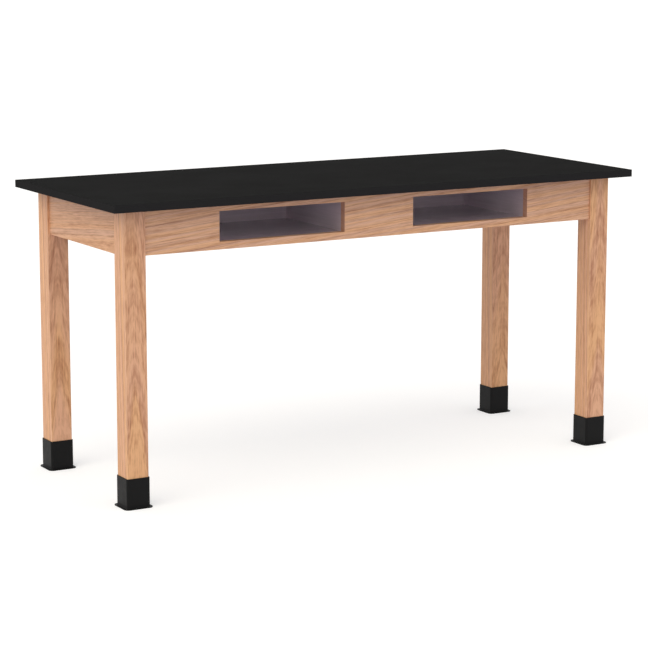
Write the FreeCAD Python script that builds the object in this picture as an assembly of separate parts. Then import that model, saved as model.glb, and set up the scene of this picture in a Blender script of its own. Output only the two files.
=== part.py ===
import FreeCAD, Part
import math
import os

from FreeCAD import Rotation, Vector

# A science lab table: a thin black work top on an oak frame with four square legs, two book
# compartments behind the front apron, and a rubber boot and a levelling glide on each leg.
# Lengths are in millimetres. X runs along the table, Y from front to rear and Z up.
# The origin is on the floor, under the middle of the table.

# Work top
top_length = 1524.0
top_depth = 609.6
top_thickness = 19.05
top_edge_radius = 0.6

# Legs
base_height = 736.6
top_overhang = 44.45
leg_size = 57.15
leg_edge_radius = 1.6
leg_flat_width = 16.0

# Aprons
apron_height = 114.3
apron_thickness = 19.05
apron_recess = 6.35
apron_edge_radius = 0.8

# Book openings in the front apron, with whole board beside each leg and between the two
opening_side_board = 203.2
opening_height = 76.2
opening_bottom_rail = 19.05

# Book compartments behind the openings
compartment_reach = 304.8
panel_thickness = 12.7
floor_thickness = 6.35
floor_groove_depth = 5.0
floor_groove_play = 0.3
side_lip = 6.35

# Hardwood cleats and blocks that hold the compartments, with shares of their length or height
# from the middle to each screw
cleat_section = 19.05
cleat_end_gap = 59.0
cleat_top_screw_share = 0.33
cleat_side_screw_share = 0.22
block_section = 19.05
block_apron_screw_share = 0.33
block_side_screw_share = 0.13

# Corner brackets, with shares of a wing's length and height to its screws
bracket_thickness = 2.0
bracket_height = 60.0
bracket_to_leg_flat = 23.2
bracket_wing = 26.0
bracket_lip = 7.0
bracket_bolt_hole_radius = 4.4
bracket_screw_along_share = 0.42
bracket_screw_height_share = 0.3
bracket_kerf_depth = 8.0
bracket_kerf_width = 2.6

# Hanger bolts with their washers and nuts
bolt_radius = 3.97
bolt_length = 76.2
bolt_past_nut = 5.0
bolt_point_length = 7.0
bolt_point_radius = 1.0
washer_radius = 11.0
washer_hole_radius = 4.4
washer_thickness = 1.6
nut_across_flats = 12.7
nut_height = 6.75
nut_chamfer = 0.9

# Clips that hold the top down
clip_thickness = 1.6
clip_width = 19.0
clip_tongue = 7.0
clip_stand_off = 2.5
clip_plate = 19.0
clip_drop = 11.1
clip_kerf_depth = 8.0
clip_kerf_height = 2.4
clip_kerf_width = 24.0
rear_clip_share = 0.64

# Wood screws
screw_radius = 2.08
screw_head_radius = 4.0
screw_head_height = 2.4
screw_head_round = 1.2
screw_point_length = 4.0
screw_point_radius = 0.4
screw_recess_length = 4.2
screw_recess_width = 0.9
screw_recess_depth = 1.3
sheet_screw_bite = 13.9
panel_screw_bite = 6.35
board_screw_bite = 12.7
hole_clearance = 0.1
hole_spare_depth = 1.0

# Threaded inserts in the feet of the legs
insert_flange_radius = 12.7
insert_flange_thickness = 1.6
insert_barrel_radius = 6.35
insert_barrel_length = 17.0
thread_clearance = 0.06

# Levelling glides
stem_radius = 4.76
stem_thread_length = 38.1
stem_end_chamfer = 1.0
stem_bore_clearance = 0.5
stem_bore_spare = 3.0
collar_across_flats = 15.875
collar_height = 5.0
collar_to_insert = 0.5
neck_radius = 3.2
pad_radius = 19.0
pad_rim_height = 3.5
pad_rim_chamfer = 0.8
pad_boss_radius = 8.5
pad_floor = 1.42
pad_to_collar = 1.0
ball_radius = 5.0
ball_clearance = 0.08
ball_mouth_share = 0.6

# Rubber leg boots
boot_height = 76.2
boot_wall = 2.5
boot_clearance = 0.3
boot_corner_radius = 5.5
boot_rim_radius = 0.7
boot_flange_reach = 6.7
boot_flange_thickness = 2.4
boot_cove_radius = 2.5

# One overrun serves every cut that has to break through a face, and one tolerance every test
# of whether an edge is level
cut_overrun = 1.0
level_tolerance = 0.05

# Directions and turns
origin = Vector(0, 0, 0)
along_x = Vector(1, 0, 0)
along_y = Vector(0, 1, 0)
upward = Vector(0, 0, 1)
downward = Vector(0, 0, -1)
inward_diagonal = Vector(1, 1, 0).normalize()
full_turn = 360.0
half_turn = 180.0
quarter_turn = 90.0
hexagon_sides = 6
parallel_share = 0.999

# Places that follow from the sizes above
leg_outer_x = top_length / 2 - top_overhang
leg_outer_y = top_depth / 2 - top_overhang
leg_inner_x = leg_outer_x - leg_size
leg_inner_y = leg_outer_y - leg_size
leg_centre = Vector(-leg_outer_x + leg_size / 2, -leg_outer_y + leg_size / 2, 0)
apron_front_y = -leg_outer_y + apron_recess
apron_back_x = -leg_outer_x + apron_recess + apron_thickness
apron_back_y = apron_front_y + apron_thickness
apron_bottom = base_height - apron_height
apron_middle = apron_bottom + apron_height / 2
opening_bottom = apron_bottom + opening_bottom_rail
opening_outer_x = -leg_inner_x + opening_side_board
opening_inner_x = -opening_side_board / 2
compartment_back_y = apron_front_y + compartment_reach
compartment_end_y = compartment_back_y + panel_thickness
floor_bottom = opening_bottom - floor_thickness
side_bottom = floor_bottom - side_lip
cleat_length = compartment_end_y - apron_back_y - 2 * cleat_end_gap
leg_flat_distance = (leg_size - apron_recess - apron_thickness) * math.sqrt(2) - leg_flat_width / 2
bracket_reach = (leg_flat_distance + bracket_to_leg_flat) * math.sqrt(2)
bracket_wing_end = bracket_reach + bracket_wing
bracket_lip_face = bracket_wing_end - bracket_thickness
block_outer_x = opening_outer_x - panel_thickness - block_section
front_clip_x = (block_outer_x + apron_back_x + bracket_wing_end) / 2
rear_clip_x = leg_inner_x * rear_clip_share
ball_centre_height = pad_floor + ball_clearance + ball_radius
pad_boss_height = ball_centre_height + ball_radius * ball_mouth_share
collar_bottom = pad_boss_height + pad_to_collar
collar_top = collar_bottom + collar_height
leg_bottom = collar_top + collar_to_insert + insert_flange_thickness

corners = {
    "front_left": (-1, -1),
    "front_right": (1, -1),
    "rear_left": (-1, 1),
    "rear_right": (1, 1),
}
sides = {"left": (-1, -1), "right": (1, -1)}


def block(low, high):
    """A block between two opposite corners."""
    size = high - low
    return Part.makeBox(size.x, size.y, size.z, low)


def edges_along(shape, direction):
    """The straight edges that run along a direction."""
    return [
        edge
        for edge in shape.Edges
        if abs(edge.tangentAt(edge.FirstParameter).dot(direction)) > parallel_share
    ]


def mirrored(shape, side_x, side_y):
    """A piece made at the front left, mirrored to the side or corner with these signs."""
    if side_x > 0:
        shape = shape.mirror(origin, along_x)
    if side_y > 0:
        shape = shape.mirror(origin, along_y)
    return shape


def placed(shape, seat, outward):
    """A piece made along +Z from the origin, set at a seat and pointing outward."""
    turned = shape.copy()
    turned.Placement = FreeCAD.Placement(seat, Rotation(upward, outward))
    return turned


def hole(seat, outward, radius, depth):
    """The tool for a round hole that goes in from a seat, against the outward direction."""
    mouth = seat + outward * cut_overrun
    return Part.makeCylinder(radius, depth + cut_overrun, mouth, -outward)


def outline_solid(points, depth):
    """A closed outline swept along a vector."""
    wire = Part.makePolygon(points + points[:1])
    return Part.Face(wire).extrude(depth)


def hexagon_prism(across_flats, height, base):
    """A hexagonal prism that stands on a base point."""
    corner_radius = across_flats / 2 / math.cos(math.pi / hexagon_sides)
    angles = [2 * math.pi * k / hexagon_sides for k in range(hexagon_sides)]
    points = [base + Vector(math.cos(a), math.sin(a), 0) * corner_radius for a in angles]
    return outline_solid(points, upward * height)


def drilled(piece, tools):
    """A piece less every hole and kerf that reaches into it."""
    reaching = [tool for tool in tools if tool.BoundBox.intersect(piece.BoundBox)]
    if not reaching:
        return piece
    return piece.cut(reaching)


def screw(length):
    """A pan-head wood screw with a cross recess, its seat at the origin and its head up."""
    head = Part.makeCylinder(screw_head_radius, screw_head_height)
    rim = [edge for edge in head.Edges if edge.BoundBox.ZMin > screw_head_height / 2]
    head = head.makeFillet(screw_head_round, rim)
    shank_length = length - screw_point_length
    shank = Part.makeCylinder(screw_radius, shank_length, origin, downward)
    point_start = downward * shank_length
    point = Part.makeCone(screw_radius, screw_point_radius, screw_point_length, point_start, downward)
    recess_low = screw_head_height - screw_recess_depth
    recess_high = screw_head_height + cut_overrun
    slot = block(
        Vector(-screw_recess_length / 2, -screw_recess_width / 2, recess_low),
        Vector(screw_recess_length / 2, screw_recess_width / 2, recess_high),
    )
    cross_slot = placed(slot, origin, upward)
    cross_slot.rotate(origin, upward, quarter_turn)
    return head.fuse([shank, point]).removeSplitter().cut([slot, cross_slot])


def screw_group(places, length, positions):
    """The screws at a list of places, mirrored to each position, and the holes for them."""
    template = screw(length)
    depth = length + hole_spare_depth
    radius = screw_radius + hole_clearance
    screws = []
    holes = []
    for signs in positions.values():
        for seat, outward in places:
            screws.append(mirrored(placed(template, seat, outward), *signs))
            holes.append(mirrored(hole(seat, outward, radius, depth), *signs))
    return screws, holes


def work_top():
    """The slab, with every edge just broken."""
    slab = block(
        Vector(-top_length / 2, -top_depth / 2, base_height),
        Vector(top_length / 2, top_depth / 2, base_height + top_thickness),
    )
    return slab.makeFillet(top_edge_radius, slab.Edges)


def leg():
    """The front left leg, with a flat across its inner corner behind the aprons."""
    stick = block(
        Vector(-leg_outer_x, -leg_outer_y, leg_bottom),
        Vector(-leg_inner_x, -leg_inner_y, base_height),
    )
    stick = stick.makeFillet(leg_edge_radius, edges_along(stick, upward))
    inner_corner = Vector(-leg_inner_x, -leg_inner_y, apron_bottom)
    reach = leg_flat_width / math.sqrt(2) + cut_overrun
    wedge = [
        inner_corner + Vector(-reach, cut_overrun, 0),
        inner_corner + Vector(cut_overrun, -reach, 0),
        inner_corner + Vector(cut_overrun, cut_overrun, 0),
    ]
    return stick.cut(outline_solid(wedge, upward * (apron_height + cut_overrun)))


def eased_board(low, high, length_direction):
    """An apron board whose two bottom edges are eased."""
    board = block(low, high)
    bottom_edges = [
        edge
        for edge in edges_along(board, length_direction)
        if edge.BoundBox.ZMax < (low.z + high.z) / 2
    ]
    return board.makeFillet(apron_edge_radius, bottom_edges)


def front_apron():
    """The long front board with its two book openings."""
    board = eased_board(
        Vector(-leg_inner_x, apron_front_y, apron_bottom),
        Vector(leg_inner_x, apron_back_y, base_height),
        along_x,
    )
    opening = block(
        Vector(opening_outer_x, apron_front_y - cut_overrun, opening_bottom),
        Vector(opening_inner_x, apron_back_y + cut_overrun, opening_bottom + opening_height),
    )
    return board.cut([mirrored(opening, *signs) for signs in sides.values()])


def rear_apron():
    """The long rear board, which is whole."""
    return eased_board(
        Vector(-leg_inner_x, -apron_back_y, apron_bottom),
        Vector(leg_inner_x, -apron_front_y, base_height),
        along_x,
    )


def end_apron():
    """The short board at the left end."""
    return eased_board(
        Vector(apron_back_x - apron_thickness, -leg_inner_y, apron_bottom),
        Vector(apron_back_x, leg_inner_y, base_height),
        along_y,
    )


def compartment_floor():
    """The left compartment's floor, its long edges in the grooves of the sides."""
    groove_reach = floor_groove_depth - floor_groove_play
    return block(
        Vector(opening_outer_x - groove_reach, apron_back_y, floor_bottom),
        Vector(opening_inner_x + groove_reach, compartment_end_y, opening_bottom),
    )


def compartment_back():
    """The left compartment's back, which stands on the floor between the sides."""
    return block(
        Vector(opening_outer_x, compartment_back_y, opening_bottom),
        Vector(opening_inner_x, compartment_end_y, base_height),
    )


def compartment_side(inner_face_x, outward_sign):
    """A side panel whose clear face is flush with an edge of the opening, with a floor groove."""
    outer_face_x = inner_face_x + outward_sign * panel_thickness
    panel = block(
        Vector(min(inner_face_x, outer_face_x), apron_back_y, side_bottom),
        Vector(max(inner_face_x, outer_face_x), compartment_end_y, base_height),
    )
    groove_face_x = inner_face_x + outward_sign * floor_groove_depth
    clear_x = inner_face_x - outward_sign * cut_overrun
    groove = block(
        Vector(min(groove_face_x, clear_x), apron_back_y - cut_overrun, floor_bottom),
        Vector(max(groove_face_x, clear_x), compartment_end_y + cut_overrun, opening_bottom),
    )
    return panel.cut(groove)


def compartment_cleat(panel_face_x, outward_sign):
    """A cleat along the top of a side panel, half way between the apron and the back."""
    outer_x = panel_face_x + outward_sign * cleat_section
    middle_y = (apron_back_y + compartment_end_y) / 2
    return block(
        Vector(min(panel_face_x, outer_x), middle_y - cleat_length / 2, base_height - cleat_section),
        Vector(max(panel_face_x, outer_x), middle_y + cleat_length / 2, base_height),
    )


def compartment_block(panel_face_x, outward_sign):
    """An upright block in the corner between a side panel and the front apron."""
    outer_x = panel_face_x + outward_sign * block_section
    return block(
        Vector(min(panel_face_x, outer_x), apron_back_y, opening_bottom),
        Vector(max(panel_face_x, outer_x), apron_back_y + block_section, opening_bottom + opening_height),
    )


def cleat_screw_places(panel_face_x, outward_sign):
    """The places of a cleat's screws into the top, and of those into the side panel."""
    middle_y = (apron_back_y + compartment_end_y) / 2
    middle_x = panel_face_x + outward_sign * cleat_section / 2
    outer_x = panel_face_x + outward_sign * cleat_section
    top_reach = cleat_length * cleat_top_screw_share
    side_reach = cleat_length * cleat_side_screw_share
    upward_screws = [
        (Vector(middle_x, middle_y + way * top_reach, base_height - cleat_section), downward)
        for way in (-1, 1)
    ]
    middle_z = base_height - cleat_section / 2
    sideways_screws = [
        (Vector(outer_x, middle_y + way * side_reach, middle_z), along_x * outward_sign)
        for way in (-1, 1)
    ]
    return upward_screws, sideways_screws


def block_screw_places(panel_face_x, outward_sign):
    """The places of a block's screws into the apron, and of those into the side panel."""
    middle_x = panel_face_x + outward_sign * block_section / 2
    outer_x = panel_face_x + outward_sign * block_section
    rear_y = apron_back_y + block_section
    middle_y = apron_back_y + block_section / 2
    middle_z = opening_bottom + opening_height / 2
    apron_reach = opening_height * block_apron_screw_share
    side_reach = opening_height * block_side_screw_share
    apron_screws = [(Vector(middle_x, rear_y, middle_z + way * apron_reach), along_y) for way in (-1, 1)]
    side_screws = [
        (Vector(outer_x, middle_y, middle_z + way * side_reach), along_x * outward_sign)
        for way in (-1, 1)
    ]
    return apron_screws, side_screws


def from_corner(along_front, along_end, height):
    """A point measured from the front left corner of the aprons' inner faces."""
    return Vector(apron_back_x + along_front, apron_back_y + along_end, height)


def corner_bracket():
    """The front left bracket: a web across the corner, two wings and two lips."""
    bend = bracket_reach + bracket_thickness * (math.sqrt(2) - 1)
    half_outline = [
        (bracket_lip_face, -bracket_lip),
        (bracket_wing_end, -bracket_lip),
        (bracket_wing_end, bracket_thickness),
        (bend, bracket_thickness),
    ]
    other_half = [(b, a) for a, b in reversed(half_outline)]
    leg_side = [(0, bracket_lip_face), (0, bracket_reach), (bracket_reach, 0), (bracket_lip_face, 0)]
    bottom = apron_middle - bracket_height / 2
    points = [from_corner(a, b, bottom) for a, b in half_outline + other_half + leg_side]
    sheet_solid = outline_solid(points, upward * bracket_height)
    bolt_hole_depth = bracket_thickness + cut_overrun
    bolt_hole = hole(web_centre(), inward_diagonal, bracket_bolt_hole_radius, bolt_hole_depth)
    return sheet_solid.cut(bolt_hole)


def web_centre():
    """The middle of the web's face that looks away from the leg."""
    face_reach = (bracket_reach + bracket_thickness * math.sqrt(2)) / 2
    return from_corner(face_reach, face_reach, apron_middle)


def bracket_kerf():
    """The upright saw kerf in the front apron that takes a bracket's lip."""
    return block(
        from_corner(bracket_lip_face, -bracket_kerf_depth, apron_bottom - cut_overrun),
        from_corner(bracket_lip_face + bracket_kerf_width, cut_overrun, base_height + cut_overrun),
    )


def bracket_end_kerf():
    """The upright saw kerf in the end apron that takes the bracket's other lip."""
    return block(
        from_corner(-bracket_kerf_depth, bracket_lip_face, apron_bottom - cut_overrun),
        from_corner(cut_overrun, bracket_lip_face + bracket_kerf_width, base_height + cut_overrun),
    )


def bracket_screw_places():
    """The places of a bracket's screws, two through each wing."""
    along = bracket_reach + bracket_wing * bracket_screw_along_share
    height_reach = bracket_height * bracket_screw_height_share
    heights = [apron_middle + way * height_reach for way in (-1, 1)]
    front = [(from_corner(along, bracket_thickness, z), along_y) for z in heights]
    end = [(from_corner(bracket_thickness, along, z), along_x) for z in heights]
    return front + end


def hanger_bolt():
    """A bolt along +Z whose wood end is a blunt point at the origin."""
    point = Part.makeCone(bolt_point_radius, bolt_radius, bolt_point_length)
    shank_start = upward * bolt_point_length
    shank = Part.makeCylinder(bolt_radius, bolt_length - bolt_point_length, shank_start)
    return point.fuse(shank).removeSplitter()


def bolt_start():
    """The place of the bolt's wood end, inside the front left leg."""
    past_web = washer_thickness + nut_height + bolt_past_nut
    return web_centre() + inward_diagonal * (past_web - bolt_length)


def washer():
    """A flat washer on the origin."""
    disc = Part.makeCylinder(washer_radius, washer_thickness)
    bore_depth = washer_thickness + cut_overrun
    return disc.cut(hole(upward * washer_thickness, upward, washer_hole_radius, bore_depth))


def nut():
    """A hexagon nut on the origin, its corners turned off on the outer face."""
    prism = hexagon_prism(nut_across_flats, nut_height, origin)
    corner_radius = nut_across_flats / 2 / math.cos(math.pi / hexagon_sides)
    cone_radius = corner_radius + nut_height - nut_chamfer / 2
    cone = Part.makeCone(cone_radius, nut_across_flats / 2 - nut_chamfer / 2, nut_height)
    bore = hole(upward * nut_height, upward, bolt_radius + hole_clearance, nut_height + cut_overrun)
    return prism.common(cone).cut(bore)


def top_clip():
    """A bent clip: its tongue goes into an apron at x = 0 and its plate lies under the top."""
    plate_top = base_height
    tongue_bottom = base_height - clip_drop
    riser = clip_stand_off
    sheet = clip_thickness
    points = [
        (-clip_tongue, tongue_bottom),
        (riser + sheet, tongue_bottom),
        (riser + sheet, plate_top - sheet),
        (riser + sheet + clip_plate, plate_top - sheet),
        (riser + sheet + clip_plate, plate_top),
        (riser, plate_top),
        (riser, tongue_bottom + sheet),
        (-clip_tongue, tongue_bottom + sheet),
    ]
    return outline_solid([Vector(x, -clip_width / 2, z) for x, z in points], along_y * clip_width)


def clip_kerf():
    """The slot in an apron's inner face that takes a clip's tongue."""
    slot_top = base_height - clip_drop + clip_thickness
    return block(
        Vector(-clip_kerf_depth, -clip_kerf_width / 2, slot_top - clip_kerf_height),
        Vector(cut_overrun, clip_kerf_width / 2, slot_top),
    )


def clip_screw_seat():
    """The place where a clip's screw sits against the underside of its plate."""
    return Vector(clip_stand_off + clip_thickness + clip_plate / 2, 0, base_height - clip_thickness)


def at_apron(shape, place, angle):
    """A piece made at x = 0 along +X, turned about Z and moved to an apron's inner face."""
    moved = shape.copy()
    moved.Placement = FreeCAD.Placement(place, Rotation(upward, angle)).multiply(shape.Placement)
    return moved


def clip_places():
    """Where the clips are, each with the direction that its apron's inner face looks in."""
    front = [(Vector(x, apron_back_y, 0), quarter_turn) for x in (-front_clip_x, 0, front_clip_x)]
    rear = [(Vector(x, -apron_back_y, 0), -quarter_turn) for x in (-rear_clip_x, 0, rear_clip_x)]
    ends = [(Vector(apron_back_x, 0, 0), 0), (Vector(-apron_back_x, 0, 0), half_turn)]
    return front + rear + ends


def leg_insert():
    """The flanged insert in a leg's foot, on the leg's axis."""
    flange_base = leg_centre + upward * (leg_bottom - insert_flange_thickness)
    flange = Part.makeCylinder(insert_flange_radius, insert_flange_thickness, flange_base)
    length = insert_flange_thickness + insert_barrel_length
    barrel = Part.makeCylinder(insert_barrel_radius, length, flange_base)
    bore = hole(flange_base, downward, stem_radius + thread_clearance, length + cut_overrun)
    return flange.fuse(barrel).removeSplitter().cut(bore)


def leg_bores():
    """The two bores up a leg's foot: one for the insert and one for the stem."""
    foot = leg_centre + upward * leg_bottom
    stem_top = collar_top + stem_thread_length
    insert_bore = hole(foot, downward, insert_barrel_radius + hole_clearance, insert_barrel_length)
    stem_depth = stem_top + stem_bore_spare - leg_bottom
    stem_bore = hole(foot, downward, stem_radius + stem_bore_clearance, stem_depth)
    return [insert_bore, stem_bore]


def glide_stem():
    """The levelling stem: a ball, a neck, a hexagon collar and a threaded length."""
    ball = Part.makeSphere(ball_radius, leg_centre + upward * ball_centre_height)
    neck_base = leg_centre + upward * ball_centre_height
    neck = Part.makeCylinder(neck_radius, collar_bottom - ball_centre_height, neck_base)
    collar = hexagon_prism(collar_across_flats, collar_height, leg_centre + upward * collar_bottom)
    plain_length = stem_thread_length - stem_end_chamfer
    thread = Part.makeCylinder(stem_radius, plain_length, leg_centre + upward * collar_top)
    end_base = leg_centre + upward * (collar_top + plain_length)
    end = Part.makeCone(stem_radius, stem_radius - stem_end_chamfer, stem_end_chamfer, end_base)
    return ball.fuse([neck, collar, thread, end]).removeSplitter()


def glide_pad():
    """The round foot, with a socket for the stem's ball."""
    outline = [
        (0, 0),
        (pad_radius - pad_rim_chamfer, 0),
        (pad_radius, pad_rim_chamfer),
        (pad_radius, pad_rim_height),
        (pad_boss_radius, pad_boss_height),
        (0, pad_boss_height),
    ]
    points = [leg_centre + Vector(x, 0, z) for x, z in outline]
    profile = Part.Face(Part.makePolygon(points + points[:1]))
    foot = profile.revolve(leg_centre, upward, full_turn)
    socket = Part.makeSphere(ball_radius + ball_clearance, leg_centre + upward * ball_centre_height)
    return foot.cut(socket)


def rounded_post(width, corner_radius, bottom, top):
    """A square post on the leg's axis with rounded upright edges."""
    half = Vector(width / 2, width / 2, 0)
    post = block(leg_centre - half + upward * bottom, leg_centre + half + upward * top)
    return post.makeFillet(corner_radius, edges_along(post, upward))


def level_edges(shape, low, high):
    """The edges that lie level between two heights."""
    level = [edge for edge in shape.Edges if edge.BoundBox.ZLength < level_tolerance]
    return [edge for edge in level if low < edge.BoundBox.ZMin < high]


def reach_from_leg(edge):
    """How far an edge reaches from the leg's axis, along X or Y."""
    box = edge.BoundBox
    along = [x - leg_centre.x for x in (box.XMin, box.XMax)]
    across = [y - leg_centre.y for y in (box.YMin, box.YMax)]
    return max(abs(reach) for reach in along + across)


def boot():
    """The front left boot: a sleeve that widens through a cove to a thin flange on the floor."""
    pocket_width = leg_size + 2 * boot_clearance
    outer_width = pocket_width + 2 * boot_wall
    sleeve = rounded_post(outer_width, boot_corner_radius, 0, boot_height)
    flange_width = outer_width + 2 * boot_flange_reach
    flange_radius = boot_corner_radius + boot_flange_reach
    flange = rounded_post(flange_width, flange_radius, 0, boot_flange_thickness)
    body = sleeve.fuse(flange).removeSplitter()
    wall_reach = (outer_width + boot_flange_reach) / 2
    on_flange = level_edges(body, boot_flange_thickness / 2, boot_height / 2)
    wall_foot = [edge for edge in on_flange if reach_from_leg(edge) < wall_reach]
    body = body.makeFillet(boot_cove_radius, wall_foot)
    body = body.makeFillet(boot_rim_radius, level_edges(body, boot_height / 2, boot_height + cut_overrun))
    pocket_radius = leg_edge_radius + boot_clearance
    pocket = rounded_post(pocket_width, pocket_radius, -cut_overrun, boot_height + cut_overrun)
    return body.cut(pocket)


def table_pieces():
    """Every piece of the table by node name."""
    panel_faces = {
        "outer": (opening_outer_x - panel_thickness, -1),
        "inner": (opening_inner_x + panel_thickness, 1),
    }
    cleat_top_places = []
    cleat_side_places = []
    block_apron_places = []
    block_side_places = []
    for face_x, outward_sign in panel_faces.values():
        into_top, into_side = cleat_screw_places(face_x, outward_sign)
        cleat_top_places += into_top
        cleat_side_places += into_side
        into_apron, into_panel = block_screw_places(face_x, outward_sign)
        block_apron_places += into_apron
        block_side_places += into_panel

    cleat_top_length = cleat_section + board_screw_bite
    cleat_side_length = cleat_section + panel_screw_bite
    block_apron_length = block_section + board_screw_bite
    block_side_length = block_section + panel_screw_bite
    bracket_screw_length = bracket_thickness + sheet_screw_bite
    cleat_top_screws, cleat_top_holes = screw_group(cleat_top_places, cleat_top_length, sides)
    cleat_side_screws, cleat_side_holes = screw_group(cleat_side_places, cleat_side_length, sides)
    block_apron_screws, block_apron_holes = screw_group(block_apron_places, block_apron_length, sides)
    block_side_screws, block_side_holes = screw_group(block_side_places, block_side_length, sides)
    bracket_screws, bracket_holes = screw_group(bracket_screw_places(), bracket_screw_length, corners)

    clip_screw_length = clip_thickness + sheet_screw_bite
    clip_screw = placed(screw(clip_screw_length), clip_screw_seat(), downward)
    clip_hole_depth = clip_screw_length + hole_spare_depth
    clip_hole = hole(clip_screw_seat(), downward, screw_radius + hole_clearance, clip_hole_depth)
    clips = [at_apron(top_clip(), place, angle) for place, angle in clip_places()]
    clip_screws = [at_apron(clip_screw, place, angle) for place, angle in clip_places()]
    clip_holes = [at_apron(clip_hole, place, angle) for place, angle in clip_places()]
    clip_kerfs = [at_apron(clip_kerf(), place, angle) for place, angle in clip_places()]

    holes = cleat_top_holes + cleat_side_holes + block_apron_holes + block_side_holes
    holes += bracket_holes + clip_holes
    kerfs = list(clip_kerfs)
    bolts = []
    washers = []
    nuts = []
    bolt_base = placed(hanger_bolt(), bolt_start(), inward_diagonal)
    bolt_tool = hole(
        bolt_start() + inward_diagonal * bolt_length,
        inward_diagonal,
        bolt_radius + hole_clearance,
        bolt_length + hole_spare_depth,
    )
    washer_base = placed(washer(), web_centre(), inward_diagonal)
    nut_seat = web_centre() + inward_diagonal * washer_thickness
    nut_base = placed(nut(), nut_seat, inward_diagonal)
    leg_base = leg().cut(leg_bores() + [bolt_tool])

    pieces = {}
    for name, signs in corners.items():
        kerfs += [mirrored(bracket_kerf(), *signs), mirrored(bracket_end_kerf(), *signs)]
        bolts.append(mirrored(bolt_base, *signs))
        washers.append(mirrored(washer_base, *signs))
        nuts.append(mirrored(nut_base, *signs))
        pieces["leg_" + name] = mirrored(leg_base, *signs)
        pieces["leg_insert_" + name] = mirrored(leg_insert(), *signs)
        pieces["glide_stem_" + name] = mirrored(glide_stem(), *signs)
        pieces["glide_pad_" + name] = mirrored(glide_pad(), *signs)
        pieces["boot_" + name] = mirrored(boot(), *signs)
        pieces["corner_bracket_" + name] = drilled(mirrored(corner_bracket(), *signs), holes)

    pieces["work_top"] = drilled(work_top(), holes)
    pieces["front_apron"] = drilled(front_apron(), holes + kerfs)
    pieces["rear_apron"] = drilled(rear_apron(), holes + kerfs)
    for name, signs in sides.items():
        pieces[name + "_apron"] = drilled(mirrored(end_apron(), *signs), holes + kerfs)
        pieces[name + "_compartment_floor"] = mirrored(compartment_floor(), *signs)
        pieces[name + "_compartment_back"] = mirrored(compartment_back(), *signs)
        for edge_name, (face_x, outward_sign) in panel_faces.items():
            clear_face_x = face_x - outward_sign * panel_thickness
            panel = mirrored(compartment_side(clear_face_x, outward_sign), *signs)
            cleat = mirrored(compartment_cleat(face_x, outward_sign), *signs)
            corner_block = mirrored(compartment_block(face_x, outward_sign), *signs)
            pieces[name + "_compartment_" + edge_name + "_side"] = drilled(panel, holes)
            pieces[name + "_compartment_" + edge_name + "_cleat"] = drilled(cleat, holes)
            pieces[name + "_compartment_" + edge_name + "_block"] = drilled(corner_block, holes)

    groups = {
        "top_clips": [drilled(clip, clip_holes) for clip in clips],
        "top_clip_screws": clip_screws,
        "cleat_top_screws": cleat_top_screws,
        "cleat_side_screws": cleat_side_screws,
        "block_apron_screws": block_apron_screws,
        "block_side_screws": block_side_screws,
        "bracket_screws": bracket_screws,
        "hanger_bolts": bolts,
        "bracket_washers": washers,
        "bracket_nuts": nuts,
    }
    for name, solids in groups.items():
        pieces[name] = Part.makeCompound(solids)
    return pieces


os.makedirs("parts", exist_ok=True)
for piece_name, piece in table_pieces().items():
    piece.exportStep(os.path.join("parts", piece_name + ".step"))
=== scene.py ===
import math

import bmesh
import bpy
from mathutils import Euler, Matrix, Vector


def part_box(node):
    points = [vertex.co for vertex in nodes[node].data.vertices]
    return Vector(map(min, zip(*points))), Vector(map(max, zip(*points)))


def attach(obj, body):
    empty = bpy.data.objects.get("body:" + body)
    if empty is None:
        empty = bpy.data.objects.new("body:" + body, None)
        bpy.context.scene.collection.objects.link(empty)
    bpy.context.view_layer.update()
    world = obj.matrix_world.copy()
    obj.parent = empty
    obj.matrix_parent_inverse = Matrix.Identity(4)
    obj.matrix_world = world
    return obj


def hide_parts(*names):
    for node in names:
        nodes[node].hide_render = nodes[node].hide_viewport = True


MM = 0.001
QUARTER = math.radians(90.0)
UPRIGHT = Vector((0, 0, 1))
WHITE = (1.0, 1.0, 1.0, 1.0)
CORNERS = {
    "front_left": (-1, -1),
    "front_right": (1, -1),
    "rear_left": (-1, 1),
    "rear_right": (1, 1),
}
SIDES = {"left": -1, "right": 1}
# The numbers of a Mix node's sockets for colours: how much of the second colour is taken, the
# first colour, the second one, and the colour that comes out
SHARE, FIRST, SECOND, MIXED = 0, 6, 7, 2
# Where most of a noise's values lie, and a narrower span that gives a pattern more contrast
NOISE_SPAN = {"From Min": 0.3, "From Max": 0.7}
NARROW_SPAN = {"From Min": 0.35, "From Max": 0.65}

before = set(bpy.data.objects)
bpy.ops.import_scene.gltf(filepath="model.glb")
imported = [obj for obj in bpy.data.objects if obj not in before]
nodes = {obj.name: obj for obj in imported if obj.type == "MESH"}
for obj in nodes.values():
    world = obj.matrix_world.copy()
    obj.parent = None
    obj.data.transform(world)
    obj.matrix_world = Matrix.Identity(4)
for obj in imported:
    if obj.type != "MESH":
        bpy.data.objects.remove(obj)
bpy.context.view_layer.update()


def linear(code):
    """The linear colour of an sRGB hex code, by the constants of the sRGB curve."""
    channels = [int(code[i:i + 2], 16) / 255 for i in (1, 3, 5)]
    return [c / 12.92 if c <= 0.04045 else ((c + 0.055) / 1.055) ** 2.4 for c in channels] + [1.0]


def new_material(name):
    """An empty material that shows one shader, and that shader."""
    material = bpy.data.materials.new(name)
    material.use_nodes = True
    shader = material.node_tree.nodes["Principled BSDF"]
    return material, shader


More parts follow.
